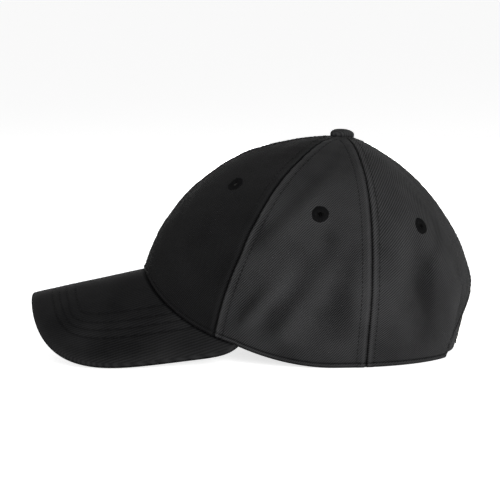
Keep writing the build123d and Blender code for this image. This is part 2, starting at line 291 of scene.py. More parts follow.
def shell(name, outer, inner, uv, attributes, flip=False):
    """Closed sheet between two grids of points, with its four edges walled in."""
    rows, columns = outer.shape[:2]
    count = rows * columns
    verts = np.concatenate([outer.reshape(-1, 3), inner.reshape(-1, 3)])
    faces = grid_faces(rows, columns, 0, flip) + grid_faces(rows, columns, count, not flip)
    ring = [(0, j) for j in range(columns)] + [(i, columns - 1) for i in range(1, rows)]
    ring += [(rows - 1, j) for j in range(columns - 2, -1, -1)] + [(i, 0) for i in range(rows - 2, 0, -1)]
    around = [i * columns + j for i, j in ring]
    for a, b in zip(around, around[1:] + around[:1]):
        quad = (a, a + count, b + count, b)
        faces.append(quad[::-1] if flip else quad)
    uvs = np.concatenate([uv.reshape(-1, 2), uv.reshape(-1, 2) + 400.0])
    doubled = {k: np.concatenate([v.ravel(), np.zeros(count)]) for k, v in attributes.items()}
    return make_mesh(name, verts, faces, uvs, doubled)


def node_link(tree, value, socket):
    """Sets a socket to a number, or links it to another node's output."""
    if isinstance(value, bpy.types.NodeSocket):
        tree.links.new(value, socket)
    else:
        socket.default_value = value


def calc(tree, operation, a, b=0.0, c=0.0):
    node = tree.nodes.new("ShaderNodeMath")
    node.operation = operation
    for value, socket in zip((a, b, c), node.inputs):
        node_link(tree, value, socket)
    return node.outputs[0]


def swing(tree, phase):
    """Sine of a phase, from 0 to 1."""
    return calc(tree, "MULTIPLY_ADD", calc(tree, "SINE", phase), 0.5, 0.5)


def attribute(tree, name):
    node = tree.nodes.new("ShaderNodeAttribute")
    node.attribute_name = name
    return node.outputs["Fac"]


def noise(tree, vector, scale, detail=3.0, roughness=0.55):
    node = tree.nodes.new("ShaderNodeTexNoise")
    node.inputs["Scale"].default_value = scale
    node.inputs["Detail"].default_value = detail
    node.inputs["Roughness"].default_value = roughness
    tree.links.new(vector, node.inputs["Vector"])
    return node.outputs["Fac"]


def new_material(name, roughness, specular, metallic=0.0, sheen=0.0):
    material = bpy.data.materials.new(name)
    material.use_nodes = True
    tree = material.node_tree
    shader = tree.nodes["Principled BSDF"]
    shader.inputs["Roughness"].default_value = roughness
    shader.inputs["Specular IOR Level"].default_value = specular
    shader.inputs["Metallic"].default_value = metallic
    shader.inputs["Sheen Weight"].default_value = sheen
    shader.inputs["Sheen Roughness"].default_value = 0.4
    coords = tree.nodes.new("ShaderNodeTexCoord").outputs["Object"]
    return material, tree, shader, coords


def paint(tree, shader, shade, low, high):
    """Base colour between two colours, by a shade from 0 to 1."""
    mix = tree.nodes.new("ShaderNodeMix")
    mix.data_type = "RGBA"
    node_link(tree, shade, mix.inputs["Factor"])
    mix.inputs["A"].default_value = (*low, 1.0)
    mix.inputs["B"].default_value = (*high, 1.0)
    tree.links.new(mix.outputs["Result"], shader.inputs["Base Color"])


def bump_map(tree, shader, height, strength, distance):
    node = tree.nodes.new("ShaderNodeBump")
    node.inputs["Strength"].default_value = strength
    node.inputs["Distance"].default_value = distance
    tree.links.new(height, node.inputs["Height"])
    tree.links.new(node.outputs["Normal"], shader.inputs["Normal"])


def woven(name, low, high, wale, yarn, relief, contrast=0.9):
    """Twill: slanted wales across U, crossed by short yarn floats along V, with faded patches."""
    material, tree, shader, coords = new_material(name, 0.9, 0.02, sheen=0.02)
    uv = tree.nodes.new("ShaderNodeUVMap")
    uv.uv_map = "weave"
    split = tree.nodes.new("ShaderNodeSeparateXYZ")
    tree.links.new(uv.outputs["UV"], split.inputs[0])
    wander = calc(tree, "MULTIPLY", noise(tree, coords, 55.0, 2.0), 5.0)
    phase = calc(tree, "MULTIPLY_ADD", split.outputs["X"], 2 * math.pi / wale, wander)
    ridge = swing(tree, phase)
    half_phase = calc(tree, "MULTIPLY", phase, 0.5)
    along = calc(tree, "MULTIPLY_ADD", split.outputs["Y"], 2 * math.pi / yarn, half_phase)
    floats = swing(tree, along)
    fuzz = noise(tree, coords, 2600.0, 3.0, 0.65)
    patches = noise(tree, coords, 26.0, 5.0, 0.6)
    weave = calc(tree, "MULTIPLY_ADD", floats, 0.3, calc(tree, "MULTIPLY", ridge, 0.7))
    height = calc(tree, "MULTIPLY_ADD", fuzz, 0.5, weave)
    shade = calc(tree, "MULTIPLY_ADD", weave, contrast, calc(tree, "MULTIPLY", patches, 0.55))
    shade = calc(tree, "MULTIPLY_ADD", calc(tree, "SUBTRACT", fuzz, 0.5), 0.5, shade)
    # The per-point attribute read here lightens or darkens the cloth: partly wear, partly painted shade in
    # seams, creases, stitch grooves and joints, and painted highlights on fold crests.
    shade = calc(tree, "MULTIPLY_ADD", attribute(tree, "wear_and_painted_light"), 0.5, calc(tree, "SUBTRACT", shade, 0.15))
    clamp = tree.nodes.new("ShaderNodeClamp")
    tree.links.new(shade, clamp.inputs[0])
    paint(tree, shader, clamp.outputs[0], low, high)
    bump_map(tree, shader, height, relief, 0.0004)
    return material


def thread(name, low, high):
    """Twisted sewing thread, with a fine twist across it and a soft shine."""
    material, tree, shader, coords = new_material(name, 0.75, 0.02, sheen=0.01)
    grain = noise(tree, coords, 3200.0, 2.0)
    # The per-point attribute read here gives the eyelet thread painted highlights on its ridges and painted
    # shade between them.
    paint(tree, shader, calc(tree, "ADD", grain, attribute(tree, "wear_and_painted_light")), low, high)
    bump_map(tree, shader, grain, 0.5, 0.0001)
    return material


def metal(name, low, high, roughness):
    """Brushed metal with worn, lighter edges and small scratches."""
    material, tree, shader, coords = new_material(name, roughness, 0.5, metallic=1.0)
    stretch = tree.nodes.new("ShaderNodeMapping")
    stretch.inputs["Scale"].default_value = (1.0, 1.0, 14.0)
    tree.links.new(coords, stretch.inputs["Vector"])
    lines = noise(tree, stretch.outputs["Vector"], 420.0, 4.0)
    edge = tree.nodes.new("ShaderNodeNewGeometry").outputs["Pointiness"]
    edges = calc(tree, "MULTIPLY", calc(tree, "SUBTRACT", edge, 0.5), 6.0)
    paint(tree, shader, calc(tree, "ADD", edges, lines), low, high)
    bump_map(tree, shader, lines, 0.25, 0.0001)
    return material


def plain(name, low, high, scale, relief, roughness=0.85):
    """Felted, foamed or moulded surface with an even grain."""
    material, tree, shader, coords = new_material(name, roughness, 0.25, sheen=0.1)
    grain = noise(tree, coords, scale, 4.0)
    paint(tree, shader, grain, low, high)
    bump_map(tree, shader, grain, relief, 0.0003)
    return material


TWILL = woven("crown_twill", (0.0004, 0.0004, 0.0005), (0.0215, 0.0215, 0.0220), 0.00118, 0.0011, 0.8)
# Same weave as the crown twill, made darker for the front panels: painted shade.
SHADED_FRONT_TWILL = woven("shaded_front_twill", (0.0003, 0.0003, 0.0004), (0.0068, 0.0068, 0.0070), 0.00118, 0.0011, 0.8)
VISOR_TWILL = woven("visor_twill", (0.0003, 0.0003, 0.0004), (0.0145, 0.0145, 0.0149), 0.00125, 0.0010, 0.35,
                    contrast=0.38)
STRAP_TWILL = woven("strap_twill", (0.001, 0.001, 0.0011), (0.022, 0.022, 0.0225), 0.0010, 0.0009, 0.8)
LINING = woven("sweatband_cloth", (0.002, 0.002, 0.0022), (0.022, 0.022, 0.0225), 0.0007, 0.0007, 0.5)
TAPE = woven("seam_tape_cloth", (0.002, 0.002, 0.0022), (0.020, 0.020, 0.0205), 0.0009, 0.0018, 0.7)
MESH_CLOTH = woven("buckram_cloth", (0.004, 0.004, 0.004), (0.045, 0.045, 0.043), 0.0013, 0.0013, 0.9)
LABEL = woven("label_satin", (0.16, 0.157, 0.15), (0.40, 0.395, 0.38), 0.0005, 0.0009, 0.2, contrast=0.4)
THREAD = thread("black_thread", (0.0008, 0.0008, 0.0009), (0.007, 0.007, 0.0072))
THREAD_SATIN = thread("eyelet_thread", (0.0004, 0.0004, 0.0005), (0.0045, 0.0045, 0.0047))
BUCKLE_METAL = metal("buckle_metal", (0.05, 0.048, 0.045), (0.24, 0.235, 0.225), 0.34)
BUTTON_METAL = metal("button_metal", (0.30, 0.30, 0.30), (0.62, 0.62, 0.62), 0.34)
FOAM = plain("padding_foam", (0.02, 0.02, 0.02), (0.07, 0.07, 0.07), 900.0, 0.6)
BOARD = plain("visor_board", (0.40, 0.40, 0.39), (0.62, 0.62, 0.60), 140.0, 0.2, 0.5)


def settle(obj, material, body, slot, *nodes):
    """Gives a piece its material and body, and hides the CAD nodes it stands for; the record slot is not
    used.
    """
    obj.data.materials.append(material)
    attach(obj, body)
    if nodes:
        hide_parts(*nodes)
    return obj


def dress(node, material):
    """Gives a CAD node that stays in sight its finished material."""
    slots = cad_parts[node].data.materials
    for i in range(len(slots)):
        slots[i] = material


# ---------------- soft relief of the crown
# Folds: heading, height, lean in degrees, half length, half width, outward rise.
FOLD_GAIN = 1.15
FOLD_MM = 1.42          # mm round the crown for a degree of heading
FOLDS = [
    (60.5, 34.0, 63.0, 20.0, 3.8, -2.1),
    (65.5, 40.0, 64.0, 26.0, 4.4, 1.7),
    (72.0, 34.0, 64.0, 24.0, 4.6, -1.9),
    (79.0, 40.0, 68.0, 28.0, 5.5, 1.3),
    (84.5, 78.0, 90.0, 14.0, 4.0, -1.0),
    (88.0, 40.0, 80.0, 30.0, 6.0, -1.1),
    (95.0, 34.0, 84.0, 22.0, 5.0, 0.8),
    (60.0, 78.0, 56.0, 24.0, 4.5, -1.1),
    (76.0, 112.0, 52.0, 22.0, 5.0, -0.9),
    (72.0, 92.0, 60.0, 26.0, 8.0, 0.7),
    (128.0, 44.0, 100.0, 24.0, 8.0, -1.9),
    (142.0, 54.0, 112.0, 26.0, 7.0, 1.2),
    (118.0, 70.0, 70.0, 30.0, 7.0, 0.9),
    (134.0, 66.0, 52.0, 22.0, 5.0, -1.0),
    (40.0, 60.0, 60.0, 26.0, 9.0, 0.4),
    (22.0, 80.0, 75.0, 30.0, 12.0, -0.4),
]


def fold_field(heading, p):
    """Outward movement of the cloth: long soft folds and an uneven drape."""
    turn = np.abs(heading)
    mirror = np.where(heading < 0, 0.8, 1.0)
    total = 0.35 * ripple(p, 46.0, 11) + 0.14 * ripple(p, 15.0, 12)
    for at, height, lean, length, width, rise in FOLDS:
        shift = np.where(heading < 0, 4.0, 0.0)
        u = (turn - at - shift) * FOLD_MM
        v = p[..., 2] - height
        c, s = math.cos(math.radians(lean)), math.sin(math.radians(lean))
        along, across = u * c + v * s, -u * s + v * c
        total = total + FOLD_GAIN * mirror * rise * bump(across, width) * bump(along, length)
    return total


def calm(heading, p):
    """1 over the open cloth, 0 near the visor joint, the base, the apex and the rear opening."""
    turn = np.abs(heading)
    above = np.where(turn < CORNER_HEADING, visor_place(p)[2], p[..., 2] - base_line(p[..., 1]))
    opening = arch_distance(p)
    rear = np.where(turn > 100, smooth(4, 22, opening), 1.0)
    top = smooth(8, 34, np.hypot(p[..., 0], p[..., 1] - AXIS_Y))
    return smooth(4, 20, above) * rear * top


def arch_distance(p):
    """Distance outside the rear opening's ellipse, seen from behind."""
    ring = np.hypot(p[..., 0] / ARCH_HALF, p[..., 2] / ARCH_HEIGHT) - 1
    return np.where(p[..., 1] > AXIS_Y, ring * ARCH_MEAN, 999.0)


def sag(heading, t):
    p = crown(heading, t)
    return fold_field(heading, p) * calm(heading, p)


# ---------------- crown panels
SEAM_STITCH = {"front": (5.0, 5.4), "side": (5.4, 6.0), "rear": (4.6, 5.0)}
SLANT = {"front": 62.0, "side": 55.0, "rear": 45.0}
PANEL_THICKNESS = 0.9


def packed(count, squeeze):
    """Shares from 0 to 1 that are closer together at both ends."""
    s = np.linspace(0, 1, count)
    return s - squeeze / (2 * np.pi) * np.sin(2 * np.pi * s)


def lengths(p, axis):
    """Running length along one axis of a grid of points."""
    step = np.linalg.norm(np.diff(p, axis=axis), axis=-1)
    pad = [(0, 0), (0, 0)]
    pad[axis] = (1, 0)
    return np.pad(np.cumsum(step, axis=axis), pad)


def panel_heading(first, second, side, inset, a):
    """Function of t that gives the headings at shares a of the way from one seam to the next."""
    def heading(t):
        start = seam_heading(first, t) + heading_width(inset, t)
        end = seam_heading(second, t) - heading_width(inset, t)
        return side * (start + (end - start) * a)
    return heading


def panel_edge(heading):
    """How far down a panel's lower edge is."""
    def inside(t):
        p = crown(heading(t), t)
        return np.minimum(clearance(p, heading(t)), arch_distance(p))
    return bisect(inside, 0.3, 1.0)


def seam_relief(d, stitch, length, seed):
    """Rolled seam edge, the raised allowance beside it, and the dimpled stitching."""
    pull = np.sin(length * 2 * np.pi / 6.5 + 2.0 * np.sin(length / 11.0 + seed))
    raised = 0.24 * (1 - smooth(stitch - 0.7, stitch + 1.4, d))
    puckers = 0.14 * pull * bump(d, stitch)
    return raised + puckers - 0.95 * bump(d, 0.5) - 0.20 * (1 + 0.8 * pull) * bump(d - stitch, 0.6)


def hem_relief(up, around):
    """Rolled lower edge with one row of stitching above its lip."""
    pull = np.sin(around * 2 * np.pi / 7.5)
    lip = 0.35 * (1 - smooth(HEM_STITCH - 0.8, HEM_STITCH + 0.6, up))
    return lip - 0.95 * bump(up, 0.55) - 0.30 * (1 + 0.3 * pull) * bump(up - HEM_STITCH, 0.6)


def weave_uv(across, up, slant):
    """Weave coordinates: the first counts the wales, the second runs along them."""
    c, s = math.cos(math.radians(slant)), math.sin(math.radians(slant))
    return np.stack([-s * across + c * up, c * across + s * up], -1)


PANELS = {
    "front": (FRONT_SEAM, SIDE_SEAM),
    "side": (SIDE_SEAM, REAR_SEAM),
    "rear": (REAR_SEAM, BACK_SEAM),
}
SIDES = (("left", 1), ("right", -1))


def crown_panel(kind, word, side):
    """Shaped cloth panel, and the grids that its stitching follows."""
    columns, rows = 112, 132
    first, second = PANELS[kind]
    a = packed(columns, 0.72)
    heading = panel_heading(first, second, side, 0.05, a)
    low = panel_edge(heading)
    share = packed(rows, 0.6)[:, None]
    t = TOP_T + (low[None, :] - TOP_T) * share
    h = heading(t)
    base = crown(h, t)
    across = lengths(base, 1)
    down = lengths(base, 0)
    from_second = across[:, -1:] - across
    up = np.minimum(down[-1:, :] - down, arch_distance(base))
    stitch_first, stitch_second = SEAM_STITCH[kind]
    seed = len(kind) + side
    relief = seam_relief(across, stitch_first, down, seed)
    relief = relief + seam_relief(from_second, stitch_second, down, seed + 2.0)
    fade = smooth(6, 26, np.minimum(across[:, -1:], 60.0)) * smooth(0, 12, down)
    relief = relief * fade + hem_relief(up, across)
    drape = sag(h, t)
    outer = crown_at(h, t, -(relief + drape))
    inner = crown_at(h, t, PANEL_THICKNESS + 0.05 - drape)
    middle = across[:, columns // 2][:, None]
    slant = SLANT[kind] if side > 0 else 180.0 - SLANT[kind]
    uv = weave_uv(across - middle, -down, slant)
    edge_wear = 0.55 * bump(across - 2.1, 0.9) + 0.55 * bump(from_second - 2.1, 0.9)
    # Darker cloth right at each seam: partly dust, partly painted shade in the seam creases.
    seam_dust_and_shade = 1.3 * (bump(across, 0.65) + bump(from_second, 0.65))
    # Darker cloth along the stitch rows, three times as strong by the side panel's first seam: painted shade
    # in the stitch grooves.
    first_gain = 3.0 if kind == "side" else 1.0
    sewn = bump(across - stitch_first, 0.6) * first_gain + bump(from_second - stitch_second, 0.6)
    wear_and_painted_light = (edge_wear - seam_dust_and_shade - 0.12 * sewn) * fade
    # Along the lower edge and the rear opening: a lighter lip, painted shade in the crevice at the very
    # edge, and painted shade in the hem stitch groove; the ripple is an uneven tone.
    wear_and_painted_light = wear_and_painted_light + 0.3 * bump(up - 2.0, 0.6) - 2.0 * (1 - smooth(0.4, 1.5, up))
    wear_and_painted_light = wear_and_painted_light - 0.9 * bump(up - HEM_STITCH, 0.5) + 0.08 * ripple(base, 30.0, 5)
    # Cloth lighter where the folds bulge out and darker where they sink in: painted highlight and painted
    # shade. The last term darkens the cloth towards the lower edge.
    wear_and_painted_light = wear_and_painted_light + np.clip(0.34 * drape, -0.55, 0.25) - 0.16 * (1 - smooth(0, 34, up))
    piece = shell(f"{kind}_panel_{word}_cloth", outer, inner, uv, {"wear_and_painted_light": wear_and_painted_light}, flip=side < 0)
    open_eyelet(piece, kind, side)
    # The front panels take the darker copy of the twill, which paints shade into them.
    settle(piece, SHADED_FRONT_TWILL if kind == "front" else TWILL, "cap", "crown_twill", f"{kind}_panel_{word}")
    return {"face": outer, "across": across, "from_second": from_second, "up": up, "side": side}


def open_eyelet(piece, kind, side):
    """Removes the cloth inside an eyelet's hole."""
    heading, t = side * EYELETS[kind][0], EYELETS[kind][1]
    centre = cloth_point(heading, t, 0.0)
    normal = crown_normal(heading, t)
    work = bmesh.new()
    work.from_mesh(piece.data)
    inside = []
    for face in work.faces:
        away = np.array(face.calc_center_median()) / MM - centre
        if abs(away @ normal) < 4.0 and np.linalg.norm(away - (away @ normal) * normal) < EYELET_CUT:
            inside.append(face)
    bmesh.ops.delete(work, geom=inside, context="FACES")
    work.to_mesh(piece.data)
    work.free()


def cloth_point(heading, t, height):
    """Points at a height above the draped cloth."""
    return crown_at(heading, t, -(sag(heading, t) + height))


# ---------------- thread
def grid_normals(grid):
    """Directions out of a piece's visible face."""
    down, across = np.gradient(grid["face"], axis=0), np.gradient(grid["face"], axis=1)
    return unit(np.cross(down, across)) * grid["side"]


def sampled(distance, run, *lines):
    """Point and normal at a distance along one line of a grid, as six numbers."""
    return [np.interp(distance, run, line[:, k]) for line in lines for k in range(3)]


def halves(rows):
    rows = np.array(rows)
    return rows[:, :3], rows[:, 3:]


def line_across(grid, distance, key):
    """Row of points down a panel at a distance from one of its seams."""
    order = slice(None, None, 1 if key == "across" else -1)
    rows = []
    for run, points, ways in zip(grid[key], grid["face"], grid_normals(grid)):
        if run.max() >= distance * 2.2:
            rows.append(sampled(distance, run[order], points[order], ways[order]))
    return halves(rows)


def line_up(grid, distance):
    """Row of points along a piece at a distance from its lower or free edge, where it is that wide."""
    face, normals = grid["face"], grid_normals(grid)
    rows = []
    for j in range(face.shape[1]):
        run = np.minimum.accumulate(grid["up"][:, j])[::-1]
        if run[-1] >= distance + 0.5:
            rows.append(sampled(distance, run, face[::-1, j], normals[::-1, j]))
    return halves(rows)


STITCH_SIDES = 6
# Share of the stitch's length, girth and rise, the last two in thread radii.
STITCH_SHAPE = ((0.0, 0.35, -0.30), (0.12, 0.85, 0.02), (0.5, 1.0, 0.16),
                (0.88, 0.85, 0.02), (1.0, 0.35, -0.30))


def along_run(at, run, values):
    """Values at a length along a row of points."""
    return np.array([np.interp(at, run, values[:, i]) for i in range(3)])


def stitches(name, rows, body="cap", length=2.3, gap=0.75, radius=0.17):
    """Short thread stitches along rows of points, with their ends pulled into the cloth."""
    verts, faces = [], []
    angles = np.arange(STITCH_SIDES) * 2 * np.pi / STITCH_SIDES
    for points, normals in rows:
        run = np.concatenate([[0], np.cumsum(np.linalg.norm(np.diff(points, axis=0), axis=1))])
        count = int(run[-1] / (length + gap))
        for k in range(count):
            start = (k + 0.25) * run[-1] / count
            rings = []
            for share, girth, rise in STITCH_SHAPE:
                at = start + share * length
                p = along_run(at, run, points)
                n = unit(along_run(at, run, normals))
                side = unit(np.cross(along_run(at + 0.4, run, points) - along_run(at - 0.4, run, points), n))
                circle = np.cos(angles)[:, None] * side + 0.8 * np.sin(angles)[:, None] * n
                rings.append(p + n * (rise * radius * 2.2) + radius * girth * circle)
            first = len(verts)
            verts.extend(np.concatenate(rings))
            faces += grid_faces(len(rings), STITCH_SIDES, first, wrap=True)
            last = first + (len(rings) - 1) * STITCH_SIDES
            faces.append(tuple(range(first, first + STITCH_SIDES)))
            faces.append(tuple(range(last + STITCH_SIDES - 1, last - 1, -1)))
    piece = make_mesh(name, verts, faces)
    return settle(piece, THREAD, body, "eyelet_thread")


# ---------------- layers inside the crown
def lower_end(heading, depth, lift):
    """Share of the way down at which a layer meets its lower edge."""
    def inside(t):
        h = heading(t)
        return clearance(crown_at(h, t, depth), h) - lift
    return bisect(inside, 0.3, 1.03)


def strip(name, heading, top, lift, depths, wave, material, slot, node, rows=110):
    """Thin layer under the panels: heading gives its columns, wave lifts it locally."""
    low = lower_end(heading, depths[0], lift)
    share = np.linspace(0, 1, rows)[:, None]
    t = top + (low[None, :] - top) * share
    h = heading(t)
    base = crown(h, t)
    across, down = lengths(base, 1), lengths(base, 0)
    width = across[:, -1:]
    move = sag(h, t) + wave(across, width, down)
    edge = np.minimum(across, width - across)
    thin = 0.75 + 0.25 * smooth(0, 0.8, edge)
    outer = crown_at(h, t, depths[0] - move)
    inner = crown_at(h, t, depths[0] + (depths[1] - depths[0]) * thin - move)
    uv = weave_uv(across, -down, 45.0)
    wear_and_painted_light = 0.5 * bump(edge, 0.8)
    side = 1 if h[rows // 2, -1] > h[rows // 2, 0] else -1
    piece = shell(name, outer, inner, uv, {"wear_and_painted_light": wear_and_painted_light}, flip=side < 0)
    settle(piece, material, "cap", slot, node)
    return {"face": inner, "across": across, "from_second": width - across, "side": -side}


def tape_heading(seam, side):
    a = np.linspace(-1, 1, 11)

    def heading(t):
        return side * seam_heading(seam, t) + heading_width(TAPE_HALF, t) * a
    return heading


def tape_wave(across, width, down):
    puckers = 0.06 * np.sin(down * 2 * np.pi / 5.5)
    rows = bump(across - TAPE_STITCH, 0.5) + bump(width - across - TAPE_STITCH, 0.5)
    return puckers + 0.12 * rows


def flat_wave(across, width, down):
    return np.zeros(across.shape)


def lining_level(heading):
    """Lower edge of the sweatband: it dips at the front to hide the visor's root."""
    low = lower_end(lambda t: heading, 0.0, 0.0)
    front = np.clip(np.cos(np.radians(heading)), 0, None)
    return crown(heading, low)[..., 2] + INNER_LIFT - FRONT_DIP * front ** 2


def level_t(heading, depth, level):
    """Share of the way down at which a layer is at a height."""
    def above(t):
        return crown_at(heading, t, depth)[..., 2] - level
    return bisect(above, 0.1, 1.03)


def belt(name, headings, level, height, depths, bulge, rows, material, slot, node, wave=0.0):
    """Band round the inside of the crown with rolled edges; headings is one value per column."""
    v = packed(rows, 0.5)[::-1, None]
    h = np.broadcast_to(headings, (rows, len(headings))) if headings.ndim == 1 else headings
    base_level = level[None, :] + height * v
    middle, half = (depths[0] + depths[1]) / 2, (depths[1] - depths[0]) / 2
    t = np.stack([level_t(h[i], middle, base_level[i]) for i in range(rows)])
    roll = np.sqrt(np.clip(1 - np.abs(2 * v - 1) ** 12, 0, 1)) * half
    p = crown(h, t)
    across = lengths(p, 1)
    swell = bulge(across, v * height, height)
    drift = wave * ripple(p, 38.0, 21)
    outer = crown_at(h, t, middle - roll - 0.3 * swell - drift)
    inner = crown_at(h, t, middle + roll + swell - drift)
    up = np.broadcast_to(v * height, across.shape)
    uv = weave_uv(across, up, 90.0)
    wear_and_painted_light = 0.4 * bump(height - up, 1.2)
    piece = shell(name, outer, inner, uv, {"wear_and_painted_light": wear_and_painted_light})
    settle(piece, material, "cap", slot, node)
    return piece, {"face": inner, "up": up, "side": -1}


def sweatband():
    """Folded band sewn along its lower edge, with a bound upper edge."""
    count, rows = 300, 26
    start = np.linspace(-1, 1, count)
    level = lining_level(start * 148.0)
    v = packed(rows, 0.5)[::-1]
    end = np.array([149.0 + 3.0 * smooth(0, 12, SWEATBAND_HEIGHT * s) for s in v])
    h = start[None, :] * end[:, None]

    def bulge(across, up, height):
        stitched = bump(up - SWEATBAND_STITCH[0], 0.7) + bump(height - up - SWEATBAND_STITCH[1], 0.7)
        return 0.22 * np.sin(across * 2 * np.pi / 46.0) * smooth(3, 14, up) - 0.28 * stitched
    return belt("sweatband_cloth", h, level, SWEATBAND_HEIGHT, SWEATBAND, bulge, rows,
                LINING, "sweatband_fabric", "sweatband", wave=0.12)[1]


def padding():
    """Soft strip over the forehead, quilted by the rows that hold it."""
    headings = np.linspace(-45.6, 45.6, 90)
    level = lining_level(headings) + 7.2

    def bulge(across, up, height):
        channels = bump(up - height / 3, 1.1) + bump(up - 2 * height / 3, 1.1)
        return 0.16 - 0.4 * channels
    depths = (PADDING[0] + 0.1, PADDING[1] - 0.1)
    piece, grid = belt("sweatband_pad", headings, level, SWEATBAND_HEIGHT - 10.6, depths,
                       bulge, 30, FOAM, "padding_foam", "sweatband_padding")


def care_label():
    """Blank woven label, folded at its top and sewn to the sweatband."""
    headings = np.linspace(120.4, 137.6, 40)
    level = lining_level(headings) + 5.3

    def bulge(across, up, height):
        down = height - up
        return 0.12 * np.sin(across * 2 * np.pi / 21.0) * smooth(0, 8, down) * (1 - smooth(12, 19, down))
    return belt("care_label_cloth", headings, level, 19.4, LABEL_DEPTH, bulge, 24,
                LABEL, "label_fabric", "care_label")[1]


# ---------------- rear opening
def rear_at(x, z, depth):
    """Points on a rear layer at a place x, z seen from behind."""
    t = 0.9
    for _ in range(8):
        side_r = profile(SIDE, t)[0]
        heading = 180.0 - np.degrees(np.arcsin(np.clip(x / side_r, -1, 1)))
        t = bisect(lambda share: crown(heading, share)[..., 2] - z, 0.2, 1.04)
    return crown_at(heading, t, depth - sag(np.where(heading > 180, heading - 360, heading), t))


def arch_facing():
    """Tape inside the rear opening, rolled at the lip, and the row of points that it is sewn by."""
    count, rows = 120, 16
    angle, grow = np.broadcast_arrays(np.linspace(0, np.pi, count)[None, :],
                                      np.linspace(0.15, FACING_WIDTH - 0.1, rows)[:, None])
    x = (ARCH_HALF + grow) * np.cos(angle)
    z = np.maximum((ARCH_HEIGHT + grow) * np.sin(angle), 0.05)
    middle, half = (FACING[0] + FACING[1]) / 2, (FACING[1] - FACING[0]) / 2
    around = angle * ARCH_MEAN
    roll = half * (0.55 + 0.45 * smooth(0, 0.9, np.minimum(grow, FACING_WIDTH - grow)))
    sewn = bump(grow - HEM_STITCH, 0.5) + bump(grow - FACING_STITCH, 0.5)
    dent = 0.12 * sewn * (1 + 0.4 * np.sin(around))
    outer = rear_at(x, z, middle - roll)
    inner = rear_at(x, z, middle + roll - dent)
    uv = weave_uv(around, grow, 45.0)
    wear_and_painted_light = 0.4 * bump(grow, 0.7)
    piece = shell("arch_facing_cloth", outer, inner, uv, {"wear_and_painted_light": wear_and_painted_light}, flip=True)
    settle(piece, TAPE, "cap", "seam_tape", "arch_facing")
    ring_x = (ARCH_HALF + FACING_STITCH) * np.cos(angle[0])
    ring_z = np.maximum((ARCH_HEIGHT + FACING_STITCH) * np.sin(angle[0]), 0.3)
    inside = rear_at(ring_x, ring_z, FACING[1])
    return inside, unit(inside - rear_at(ring_x, ring_z, 0.0))


def band_at(heading, z, depth):
    """Points on the strap's cone; heading from the rear centre, plus to the left, in degrees."""
    r = BAND_RADIUS - depth + math.tan(BAND_LEAN) * (z - BAND_Z)
    a = np.radians(heading)
    return np.stack([r * np.sin(a), BAND_CENTRE_Y + r * np.cos(a), np.broadcast_to(z, r.shape)], -1)


def webbing(name, path, heights, thickness, columns, wear_ends, body, node):
    """Woven strip along a path of headings and depths, and the rows that its borders are sewn by."""
    heading, depth, turn = path
    v = packed(columns, 0.7)[None, :]
    height = heights[1] - heights[0]
    half = thickness / 2 * np.sqrt(np.clip(1 - np.abs(2 * v - 1) ** 14, 0.05, 1))
    steps = np.abs(np.diff(heading)) * BAND_MM + np.abs(np.diff(depth))
    along, up = np.broadcast_arrays(np.concatenate([[0], np.cumsum(steps)])[:, None], v * height)
    sewn = bump(up - STRAP_STITCH, 0.5) + bump(height - up - STRAP_STITCH, 0.5)
    dent = (0.10 + 0.05 * np.sin(along * 2 * np.pi / 6.0)) * sewn
    faces = []
    for offset in (half - dent, dent - half):
        h = heading[:, None] + offset * np.sin(turn)[:, None] * BAND_DEGREES
        d = depth[:, None] - offset * np.cos(turn)[:, None]
        faces.append(band_at(h, heights[0] + up, d))
    uv = weave_uv(along, up, 45.0)
    wear_and_painted_light = 0.55 * bump(np.minimum(up, height - up), 0.9) + wear_ends * bump(along - along[-1], 2.0)
    piece = shell(name, faces[0], faces[1], uv, {"wear_and_painted_light": wear_and_painted_light})
    settle(piece, STRAP_TWILL, body, "strap_twill", node)
    rows = []
    for share in (STRAP_STITCH / height, 1 - STRAP_STITCH / height):
        j = int(np.argmin(np.abs(v[0] - share)))
        for face, other in (faces, faces[::-1]):
            rows.append((face[:, j], unit(face[:, j] - other[:, j])))
    return rows


def strap():
    heading = np.linspace(STRAP_ENDS[0] + 0.2, STRAP_ENDS[1] - 0.2, 170)
    depth = np.full(heading.shape, (STRAP_DEPTH[0] + STRAP_DEPTH[1]) / 2)
    path = (heading, depth, np.zeros(heading.shape))
    heights = (STRAP_Z[0] + 0.1, STRAP_Z[1] - 0.1)
    rows = webbing("adjuster_strap_cloth", path, heights, 1.08, 30, 0.5, "strap", "adjuster_strap")
    stitches("adjuster_strap_stitches", rows, "strap", radius=0.13)


def loop():
    """Tab folded round the plate's end bar."""
    start = STRAP_DEPTH[1] + 0.1 + LOOP_PLY / 2
    finish = PLATE_DEPTH[1] + 0.1 + LOOP_PLY / 2
    middle, radius = (start + finish) / 2, (finish - start) / 2
    bend = np.linspace(0, np.pi, 14)
    fold = -22.4 + radius * BAND_DEGREES * np.sin(bend)[1:-1]
    heading = np.concatenate([np.linspace(-35.8, -22.4, 40), fold, np.linspace(-22.4, -26.0, 12)])
    depth = np.concatenate([np.full(40, start), middle - radius * np.cos(bend)[1:-1], np.full(12, finish)])
    turn = np.concatenate([np.zeros(40), bend[1:-1], np.full(12, np.pi)])
    webbing("buckle_loop_cloth", (heading, depth, turn), (4.1, 18.9), LOOP_PLY - 0.02, 22, 0.4,
            "cap", "buckle_loop")


